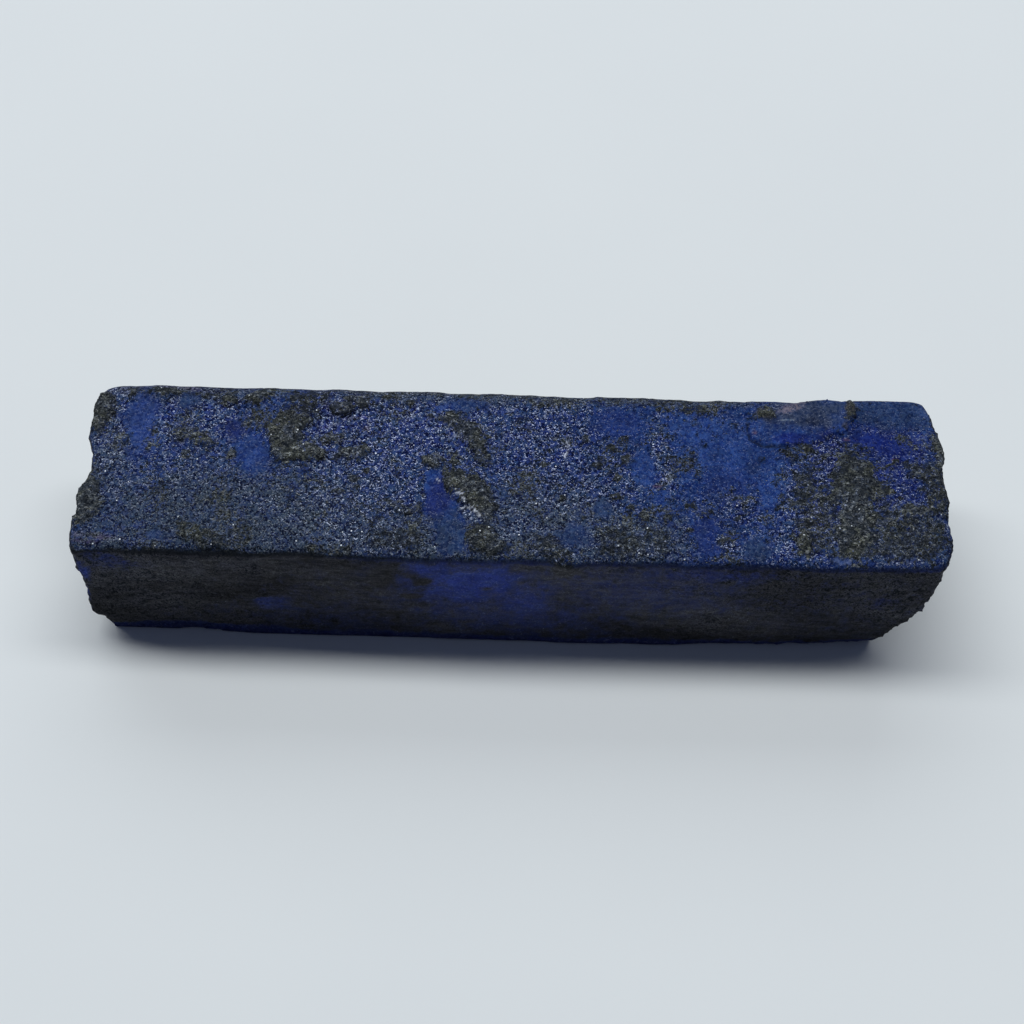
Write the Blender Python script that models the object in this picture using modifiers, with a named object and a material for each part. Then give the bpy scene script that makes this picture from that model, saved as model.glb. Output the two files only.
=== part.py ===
"""A rough sapphire: one bar of blue corundum, broken across at both ends.

The bar lies along X and rests on Z = 0, with the origin under its middle. It is one stone, so it
is one solid. Outlines from above, from the front and from the end give the block, lumps of crust
and a flake are fused to it, and chips are cut from it. Then a relief of crust patches, fracture
steps and grain roughens its skin, and its underside is cut flat.
"""

import math

import bmesh
import bpy
from mathutils import Euler, Matrix, Vector, noise

MM = 0.001

# Driving dimensions
LENGTH = 77.2 * MM
WIDTH = 18.4 * MM
HEIGHT = 15.1 * MM

HALF_LENGTH = LENGTH / 2
HALF_WIDTH = WIDTH / 2

# How finely the skin is modelled, and how much its arrises are worn
SKIN_CELL = 0.42 * MM
WEAR_PASSES = 3
MOST_TRIANGLES = 8600

# How far the block reaches below the resting plane until it is cut flat
UNDERSIDE = 0.6 * MM

# The outlines' prisms reach well past the stone
PRISM_REACH = 60 * MM

# The ends from above, in mm: (how far it stands in from the end, y), from back to front
LEFT_END = [
    (3.4, 9.35), (2.0, 9.15), (1.0, 8.5), (0.5, 7.2), (0.45, 5.6), (0.6, 4.0), (0.85, 2.7),
    (0.5, 1.2), (0.65, 0.4), (0.8, -0.9), (0.4, -2.0), (0.3, -3.2), (0.45, -4.4), (0.4, -5.2),
    (0.3, -7.2), (0.4, -8.3), (0.9, -8.9),
]
RIGHT_END = [
    (5.3, 9.3), (2.1, 9.15), (1.2, 8.5), (0.7, 7.4), (0.45, 5.9), (0.3, 4.4), (0.2, 3.0),
    (0.3, 1.4), (0.05, -0.2), (0.1, -1.6), (0.3, -4.0), (0.15, -5.6), (0.3, -7.0), (0.7, -8.2),
    (1.4, -8.85),
]

# The long edges from above, in mm: (x, how far it stands in from the side), from left to right
BACK_EDGE = [
    (-19.0, 0.0), (-7.7, -0.05), (-3.5, 0.05), (-2.7, 0.35), (-1.9, 0.1), (4.6, 0.3), (6.9, 0.45),
    (7.6, 0.2), (14.0, 0.25), (20.0, 0.3), (26.0, 0.25), (30.9, 0.05),
]
FRONT_EDGE = [
    (-31.0, 0.45), (-20.0, 0.4), (-8.0, 0.3), (3.5, 0.2), (12.0, 0.2), (20.5, 0.0), (29.0, 0.1),
    (35.0, 0.25),
]

# The ends from the front, in mm: (how far it stands in from the end, z), from the base up. The
# left end has a step low down, and the right end is broken obliquely.
LEFT_PROFILE = [
    (1.0, -1.0), (0.7, 1.6), (0.6, 2.9), (-0.1, 3.3), (0.1, 6.4), (0.0, 8.0), (0.2, 11.0),
    (-0.2, 13.5), (-0.3, 16.5),
]
RIGHT_PROFILE = [
    (5.0, -1.0), (4.4, 1.4), (3.95, 2.7), (3.5, 3.9), (2.8, 5.2), (2.15, 6.4), (1.6, 7.6),
    (1.3, 8.7), (0.95, 9.6), (0.65, 10.9), (0.3, 12.6), (-0.3, 14.2), (-0.3, 16.5),
]

# The sides from the right end, in mm: (how far it stands in from the side, z), from the base up
FRONT_PROFILE = [(0.3, -0.6), (0.1, 1.0), (0.05, 4.0), (0.15, 8.0), (0.0, 12.0), (0.1, 14.6),
                 (0.5, 15.1)]
BACK_PROFILE = [(1.6, -0.6), (0.6, 0.6), (0.25, 1.8), (0.2, 6.0), (0.0, 10.0), (-0.1, 13.0),
                (0.1, 14.0), (0.6, 14.7), (1.6, 15.05), (5.0, 15.1)]

# Lumps fused to the skin: name: centre, half sizes (mm) and turn about Z (degrees)
LUMPS = {
    "left back nodule": ((-37.1, 5.8, 14.4), (1.0, 2.3, 1.1), 4),
    "left front nodule": ((-37.2, -3.5, 14.3), (1.0, 2.5, 1.05), -5),
    "left front edge": ((-36.4, -8.0, 14.5), (1.7, 0.7, 0.6), -8),
    "left end rib": ((-37.9, 1.5, 8.5), (0.7, 1.6, 3.4), 0),
    "right end nodule": ((38.2, 3.0, 13.8), (0.7, 1.4, 1.2), -4),
    "right end low nodule": ((37.2, -3.4, 8.4), (0.9, 2.2, 1.5), 12),
    "back edge lump 1": ((-31.3, 7.9, 14.85), (1.1, 0.55, 0.5), 0),
    "back edge lump 2": ((-25.6, 7.3, 14.9), (1.0, 0.5, 0.5), 0),
    "back edge lump 3": ((-22.9, 7.7, 14.85), (1.4, 0.6, 0.55), 24),
    "back edge lump 4": ((-15.6, 6.3, 14.95), (1.3, 0.6, 0.6), -20),
    "back edge lump 5": ((-13.9, 7.3, 14.85), (1.1, 0.5, 0.5), -32),
    "middle lump": ((-16.3, 3.2, 14.9), (1.2, 0.6, 0.5), 18),
    "hanging crust": ((4.9, -8.95, 14.3), (1.0, 0.45, 0.75), 0),
}

# Chips cut from the arrises: name: centre, half sizes (mm), and turns about X and Z (degrees)
CHIPS = {
    "long chip under the front": ((27.0, -9.65, -0.3), (14.5, 1.0, 1.0), (45, 3.8)),
    "notch in the back edge": ((-2.7, 9.6, 14.9), (0.7, 0.6, 0.6), (45, 0)),
    "left end low notch": ((-39.8, -6.4, 0.9), (1.4, 1.4, 1.2), (0, 40)),
}

# The flake near the right back edge: its outline from above in mm, its lift and its tilts (degrees)
FLAKE = [
    (21.4, 5.7), (21.6, 4.4), (22.4, 3.8), (24.0, 3.55), (25.6, 3.65), (26.7, 4.1), (27.6, 4.6),
    (29.2, 4.8), (30.2, 5.1), (30.7, 6.3), (30.6, 7.7), (29.9, 8.6), (28.4, 8.75), (27.2, 8.8),
    (26.2, 8.3), (25.0, 7.7), (23.7, 7.2), (22.6, 7.4), (21.8, 6.8),
]
FLAKE_MIDDLE = (26.0, 6.2)
FLAKE_THICKNESS = 1.6 * MM
FLAKE_LIFT = 0.32 * MM
FLAKE_TILT = (1.6, -1.2)
FLAKE_RIM = 0.25 * MM

# Crust that stands on the top: name: centre, half sizes (mm), turn about Z and thickness (mm)
CRUST = {
    "big patch": ((-20.3, 4.6), (2.3, 3.6), 8, 0.42),
    "big patch foot": ((-18.6, 1.5), (2.2, 0.9), 3, 0.45),
    "big patch shoulder": ((-17.2, 7.0), (3.0, 1.3), -6, 0.30),
    "left back strip": ((-33.0, 7.6), (3.2, 0.5), 0, 0.22),
    "back strip": ((-9.0, 8.0), (4.2, 0.7), 0, 0.22),
    "small patch left": ((-28.6, 3.0), (2.4, 0.9), -8, 0.22),
    "front ridge": ((-26.3, -7.2), (2.2, 0.45), -14, 0.32),
    "short ridge": ((-9.9, -4.1), (1.5, 0.45), -12, 0.28),
    "vein head": ((-4.9, 5.4), (1.2, 0.9), -30, 0.32),
    "vein neck": ((-3.2, 2.9), (1.1, 1.6), 14, 0.28),
    "vein knot": ((-7.0, 1.0), (0.9, 0.5), -8, 0.32),
    "vein body": ((-3.9, -1.9), (1.2, 2.7), 32, 0.42),
    "vein foot": ((-2.3, -6.3), (1.4, 2.3), 10, 0.34),
    "front strip": ((10.6, -7.0), (3.4, 1.3), -4, 0.20),
    "front strip left": ((2.3, -7.7), (2.6, 0.9), 0, 0.20),
    "right patch": ((30.0, -1.2), (1.9, 3.6), -6, 0.32),
    "right patch foot": ((29.8, -5.6), (1.6, 2.1), 4, 0.26),
    "right patch head": ((30.2, 3.2), (1.1, 0.9), -20, 0.24),
    "right field": ((35.6, -1.4), (2.5, 2.7), 0, 0.26),
    "right ridge": ((34.9, -4.1), (2.4, 0.7), 6, 0.34),
    "brown spot": ((25.5, -6.2), (0.6, 1.0), 12, 0.34),
}
CRUST_BORDER = 0.28  # the share of a patch's half size over which it thins out
CRUST_WANDER = 0.7 * MM  # how far a patch's border strays from its ellipse
CRUST_WANDER_SIZE = 1.7 * MM

# Relief of the whole skin: the size of its features, and their height
SWELL_SIZE = 5.5 * MM
SWELL_HEIGHT = 0.16 * MM
GRAIN_SIZE = 1.5 * MM
GRAIN_HEIGHT = 0.09 * MM

# Shallow ledges that run along the sides
LEDGE_LENGTH = 14 * MM
LEDGE_PITCH = 2.6 * MM
LEDGE_HEIGHT = 0.11 * MM

# Fracture steps of the two ends: they fade out towards the end face's rim
STEP_SIZE = 3.2 * MM
STEPS = 3
STEP_DEPTH = 1.1 * MM
STEP_FADE = 3.0 * MM

# How much a skin's normal leans towards a side before it starts to, and fully does, belong to it
FACING = (0.35, 0.75)


def clear_scene():
    for obj in list(bpy.data.objects):
        bpy.data.objects.remove(obj)


def collection(name):
    found = bpy.data.collections.new(name)
    bpy.context.scene.collection.children.link(found)
    return found


def plan_outline():
    """The stone from above, counter-clockwise from the left end's back corner."""
    left = [(inset * MM - HALF_LENGTH, y * MM) for inset, y in LEFT_END]
    front = [(x * MM, inset * MM - HALF_WIDTH) for x, inset in FRONT_EDGE]
    right = [(HALF_LENGTH - inset * MM, y * MM) for inset, y in reversed(RIGHT_END)]
    back = [(x * MM, HALF_WIDTH - inset * MM) for x, inset in reversed(BACK_EDGE)]
    return left + front + right + back


def side_outline(first, last, half_size):
    """Two opposite profiles as one closed outline, as (across, height)."""
    start = [(inset * MM - half_size, z * MM) for inset, z in first]
    end = [(half_size - inset * MM, z * MM) for inset, z in last]
    return start[::-1] + end


def smoothstep(low, high, value):
    share = min(max((value - low) / (high - low), 0.0), 1.0)
    return share * share * (3 - 2 * share)


def turned(angle_x, angle_y, angle_z):
    """A rotation by three angles in degrees."""
    return Euler([math.radians(angle) for angle in (angle_x, angle_y, angle_z)]).to_matrix().to_4x4()


def evaluated_mesh(obj):
    """The object's mesh with its modifiers applied."""
    bpy.context.view_layer.update()
    graph = bpy.context.evaluated_depsgraph_get()
    return bpy.data.meshes.new_from_object(obj.evaluated_get(graph))


def new_object(name, mesh, home):
    obj = bpy.data.objects.new(name, mesh)
    home.objects.link(obj)
    return obj


def helper(obj):
    obj.hide_render = True
    obj.display_type = "WIRE"
    return obj


def prism(name, outline, thickness, rotation, home):
    """A closed outline extruded to a thickness about its plane, as a welded mesh."""
    curve = bpy.data.curves.new(name, "CURVE")
    curve.dimensions = "2D"
    curve.fill_mode = "BOTH"
    curve.extrude = thickness / 2
    spline = curve.splines.new("POLY")
    spline.points.add(len(outline) - 1)
    for point, (across, up) in zip(spline.points, outline):
        point.co = (across, up, 0, 1)
    spline.use_cyclic_u = True
    drawn = new_object(name + " outline", curve, home)
    mesh = evaluated_mesh(drawn)
    bpy.data.objects.remove(drawn)
    mesh.transform(turned(*rotation))
    bm = bmesh.new()
    bm.from_mesh(mesh)
    bmesh.ops.remove_doubles(bm, verts=bm.verts, dist=0.001 * MM)
    bmesh.ops.recalc_face_normals(bm, faces=bm.faces)
    bm.to_mesh(mesh)
    bm.free()
    return new_object(name, mesh, home)


def lump(name, centre, half_sizes, turn, home):
    """An egg of crust, about half sunk in the skin."""
    bm = bmesh.new()
    bmesh.ops.create_icosphere(bm, subdivisions=3, radius=MM)
    bm.transform(Matrix.Diagonal((*half_sizes, 1)))
    bm.transform(Matrix.Translation(Vector(centre) * MM) @ turned(0, 0, turn))
    mesh = bpy.data.meshes.new(name)
    bm.to_mesh(mesh)
    bm.free()
    return helper(new_object(name, mesh, home))


def chip(name, centre, half_sizes, turns, home):
    """A turned box that takes an arris off."""
    bm = bmesh.new()
    bmesh.ops.create_cube(bm, size=2 * MM)
    bm.transform(Matrix.Diagonal((*half_sizes, 1)))
    bm.transform(turned(turns[0], 0, 0))
    bm.transform(Matrix.Translation(Vector(centre) * MM) @ turned(0, 0, turns[1]))
    mesh = bpy.data.meshes.new(name)
    bm.to_mesh(mesh)
    bm.free()
    return helper(new_object(name, mesh, home))


def flake(home):
    """A thin plate with a rounded rim, lying tilted on the top at the back edge."""
    outline = [(x * MM, y * MM) for x, y in FLAKE]
    plate = prism("flake", outline, FLAKE_THICKNESS, (0, 0, 0), home)
    middle = Vector((*FLAKE_MIDDLE, 0)) * MM
    lift = Vector((0, 0, HEIGHT + FLAKE_LIFT - FLAKE_THICKNESS / 2))
    plate.data.transform(Matrix.Translation(-middle))
    plate.data.transform(Matrix.Translation(middle + lift) @ turned(*FLAKE_TILT, 0))
    rim = plate.modifiers.new("rim", "BEVEL")
    rim.width = FLAKE_RIM
    rim.segments = 2
    return helper(plate)


def boolean(obj, operation, other):
    modifier = obj.modifiers.new(f"{operation.lower()} {other.name}", "BOOLEAN")
    modifier.operation = operation
    modifier.object = other


def block(home, helpers):
    """The bar with its three outlines, its lumps, its flake and its chips."""
    front = side_outline(LEFT_PROFILE, RIGHT_PROFILE, HALF_LENGTH)
    section = side_outline(FRONT_PROFILE, BACK_PROFILE, HALF_WIDTH)
    stone = prism("rough_sapphire", plan_outline(), PRISM_REACH, (0, 0, 0), home)
    boolean(stone, "INTERSECT", helper(prism("front", front, PRISM_REACH, (90, 0, 0), helpers)))
    boolean(stone, "INTERSECT", helper(prism("section", section, 2 * PRISM_REACH, (90, 0, 90), helpers)))
    for name, (centre, half_sizes, turn) in LUMPS.items():
        boolean(stone, "UNION", lump(name, centre, half_sizes, turn, helpers))
    boolean(stone, "UNION", flake(helpers))
    for name, (centre, half_sizes, turns) in CHIPS.items():
        boolean(stone, "DIFFERENCE", chip(name, centre, half_sizes, turns, helpers))
    return stone


def even_skin(stone):
    """Gives the stone one even skin of small faces, its arrises worn a little round."""
    remesh = stone.modifiers.new("skin", "REMESH")
    remesh.mode = "VOXEL"
    remesh.voxel_size = SKIN_CELL
    wear = stone.modifiers.new("wear", "SMOOTH")
    wear.factor = 0.5
    wear.iterations = WEAR_PASSES
    mesh = evaluated_mesh(stone)
    stone.modifiers.clear()
    stone.data = mesh


def crust_height(point):
    """How thick the crust stands at a point of the top."""
    stray = noise.noise_vector(point / CRUST_WANDER_SIZE) * CRUST_WANDER
    height = 0.0
    for centre, half_sizes, turn, thickness in CRUST.values():
        away = (point + stray).xy - Vector(centre) * MM
        away.rotate(Matrix.Rotation(-math.radians(turn), 2))
        reach = Vector((away.x / half_sizes[0], away.y / half_sizes[1])).length / MM
        height = max(height, thickness * MM * smoothstep(1 + CRUST_BORDER, 1 - CRUST_BORDER, reach))
    return height


def fracture_depth(point):
    """How far an end's face is broken back, in steps."""
    rim = min(HEIGHT - point.z, point.y + HALF_WIDTH, HALF_WIDTH - point.y)
    inside = smoothstep(0.0, STEP_FADE, rim)
    level = STEPS * max(noise.noise(Vector((0, point.y, 0.7 * point.z)) / STEP_SIZE) + 0.5, 0.0)
    tread = math.floor(level)
    riser = smoothstep(0.35, 0.65, level - tread)
    return STEP_DEPTH * inside * (tread + riser) / STEPS


def ledge_height(point):
    """How far the ledges of the two long sides stand out."""
    along = Vector((point.x / LEDGE_LENGTH, point.y / WIDTH, point.z / LEDGE_PITCH))
    return LEDGE_HEIGHT * noise.noise(along)


def relief(point, normal):
    """The skin's height over the plain block, along its normal."""
    if point.z < 0:
        return 0.0
    height = SWELL_HEIGHT * noise.fractal(point / SWELL_SIZE, 1.0, 2.0, 3)
    height += GRAIN_HEIGHT * noise.fractal(point / GRAIN_SIZE, 0.8, 2.0, 3)
    height += smoothstep(*FACING, normal.z) * crust_height(point)
    height -= smoothstep(*FACING, abs(normal.x)) * fracture_depth(point)
    height += smoothstep(*FACING, abs(normal.y)) * ledge_height(point)
    return height


def roughen(stone):
    """Moves the skin by its relief."""
    bm = bmesh.new()
    bm.from_mesh(stone.data)
    bm.normal_update()
    moves = [vertex.normal * relief(vertex.co, vertex.normal) for vertex in bm.verts]
    for vertex, move in zip(bm.verts, moves):
        vertex.co += move
    bm.to_mesh(stone.data)
    bm.free()


def thin_out(stone):
    """Drops the faces that the shape doesn't need."""
    decimate = stone.modifiers.new("fewer faces", "DECIMATE")
    decimate.use_collapse_triangulate = True
    triangles = 2 * len(stone.data.polygons)
    decimate.ratio = MOST_TRIANGLES / triangles


def rest_flat(stone, helpers):
    """Cuts the underside off along the plane that the stone rests on."""
    bm = bmesh.new()
    bmesh.ops.create_cube(bm, size=1)
    bm.transform(Matrix.Translation((0, 0, -HEIGHT / 2)) @ Matrix.Diagonal((2 * LENGTH, LENGTH, HEIGHT, 1)))
    mesh = bpy.data.meshes.new("resting plane")
    bm.to_mesh(mesh)
    bm.free()
    boolean(stone, "DIFFERENCE", helper(new_object("resting plane", mesh, helpers)))


def sapphire_material():
    material = bpy.data.materials.new("sapphire")
    material.use_nodes = True
    shader = material.node_tree.nodes["Principled BSDF"]
    shader.inputs["Base Color"].default_value = (0.030, 0.045, 0.110, 1)
    shader.inputs["Roughness"].default_value = 0.6
    shader.inputs["Metallic"].default_value = 0.0
    return material


def main():
    clear_scene()
    home = collection("rough sapphire")
    helpers = collection("helpers")
    stone = block(home, helpers)
    even_skin(stone)
    roughen(stone)
    thin_out(stone)
    rest_flat(stone, helpers)
    stone.data.materials.append(sapphire_material())


main()
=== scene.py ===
import math

import bmesh
import bpy
import numpy as np
from mathutils import Matrix, Vector, noise


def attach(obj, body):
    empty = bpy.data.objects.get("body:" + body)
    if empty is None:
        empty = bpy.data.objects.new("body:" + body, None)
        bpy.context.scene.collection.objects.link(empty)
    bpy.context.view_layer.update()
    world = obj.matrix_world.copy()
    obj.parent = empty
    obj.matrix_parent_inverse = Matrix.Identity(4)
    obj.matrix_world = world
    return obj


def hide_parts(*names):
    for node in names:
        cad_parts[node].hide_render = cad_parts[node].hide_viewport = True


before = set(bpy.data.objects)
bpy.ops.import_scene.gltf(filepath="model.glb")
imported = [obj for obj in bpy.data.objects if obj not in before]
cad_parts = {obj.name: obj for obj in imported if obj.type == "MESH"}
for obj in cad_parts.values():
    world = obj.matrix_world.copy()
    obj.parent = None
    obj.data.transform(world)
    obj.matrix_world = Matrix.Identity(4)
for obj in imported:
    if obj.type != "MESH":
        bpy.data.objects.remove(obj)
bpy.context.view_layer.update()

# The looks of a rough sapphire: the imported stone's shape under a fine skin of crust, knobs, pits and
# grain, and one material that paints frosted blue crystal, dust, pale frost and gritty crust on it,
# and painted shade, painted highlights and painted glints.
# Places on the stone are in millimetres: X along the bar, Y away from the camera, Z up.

MM = 0.001

# The skin's mesh: its cells all round, halved on the top, where faces look up and lie high; the flat
# underside lies below BASE_LEVEL
SKIN_CELL = 0.312 * MM
FACET_SMOOTHING = 6
TOP_LEAN = 0.7
TOP_START = 13.2 * MM
BASE_LEVEL = 0.02 * MM
TOP_ARRIS = (12.6, 13.6)  # the heights, in mm, between which the sides' looks become the top's

# Sizes, in mm, of the noise that shapes and covers the skin
COARSE_SIZE = 2.4
BLOTCH_SIZE = 0.9
RAGGED_SIZE = 0.42
LUMP_SIZE = 0.85
GRIT_SIZE = 0.36
FINE_SIZE = 0.34
STRAND_SIZE = 0.5
PATCH_SIZE = 4.5
SHADE_SIZE = 5.0

# Heights of the relief, in mm; the heights in the lists below are multiplied by RISE_SHARE, and those
# of the knobs by KNOB_LIFT too
LUMP_HEIGHT = 0.21
GRIT_HEIGHT = 0.07
WHITE_HEIGHT = 0.14
FLAKE_RIM_HEIGHT = 0.16
CRACK_DEPTH = 0.20
PIT_DEPTH = 0.12
RISE_SHARE = 0.6
KNOB_LIFT = 1.8

# Worn places, in mm: how far the front's lower edge is drawn in and the back's upper edge pushed out
# along the bar, as x and depth; how far the left end is drawn in, as y and depth; how deep it is cut
# below the ledge's height, and how far its brow stands out above that
FOOT_HEIGHT = 3.2
FOOT_TUCKS = [
    (-37.0, 0.40), (-30.0, 0.34), (-23.0, 0.02), (0.0, -0.05), (5.0, -0.16), (14.0, -0.16), (19.0, 0.12),
    (28.0, 0.28), (34.0, 0.60),
]
BACK_PUSHES = [
    (-37.0, 0.10), (-35.0, 0.26), (-30.0, 0.32), (-14.0, 0.30), (-10.6, 0.10), (-6.0, 0.10), (-1.8, 0.36),
    (0.6, 0.17), (6.0, 0.24), (13.6, 0.07), (18.0, 0.14), (20.6, 0.07), (24.6, 0.08), (26.8, -0.12),
    (30.0, -0.12), (31.2, 0.25), (33.4, 0.38), (37.8, 0.20),
]
LEFT_PUSHES = [
    (-3.2, 0.0), (-2.1, 0.20), (-1.3, 0.56), (-0.4, 0.54), (0.4, 0.38), (1.3, 0.34), (2.1, 0.0),
    (3.0, -0.40), (3.8, -0.33), (4.7, 0.0),
]
LEDGE_HEIGHT = 3.0
LEDGE_DEPTH = 0.45
BROW_DEPTH = 0.35

# How softly, in mm, the outlines below are drawn, how far they stray and how far they are widened
OUTLINE_SOFTNESS = 0.9
OUTLINE_STRAY = 0.60
OUTLINE_GROWTH = 0.25

# The camera of a close-up, about two bar lengths away: its place in mm, its turn and elevation in
# degrees, its lens in mm, and the nearest that it sees, in metres
CAMERA_PLACE = (2.204, -84.503, 143.808)
CAMERA_TURN = 1.48
CAMERA_ELEVATION = 58.0
CAMERA_LENS = 61.07
SENSOR_WIDTH = 36.0
CAMERA_NEAREST = 0.01

# The floor, in metres, its two colours, the dim light from all round and the backdrop
FLOOR_SIZE = 2.0
FLOOR_COLOURS = ((0.725, 0.770, 0.787), (0.755, 0.800, 0.813))
AIR_COLOUR = (0.72, 0.86, 1.36)
AIR_STRENGTH = 0.078
BACKDROP_COLOUR = (0.56, 0.61, 0.65)

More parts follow.
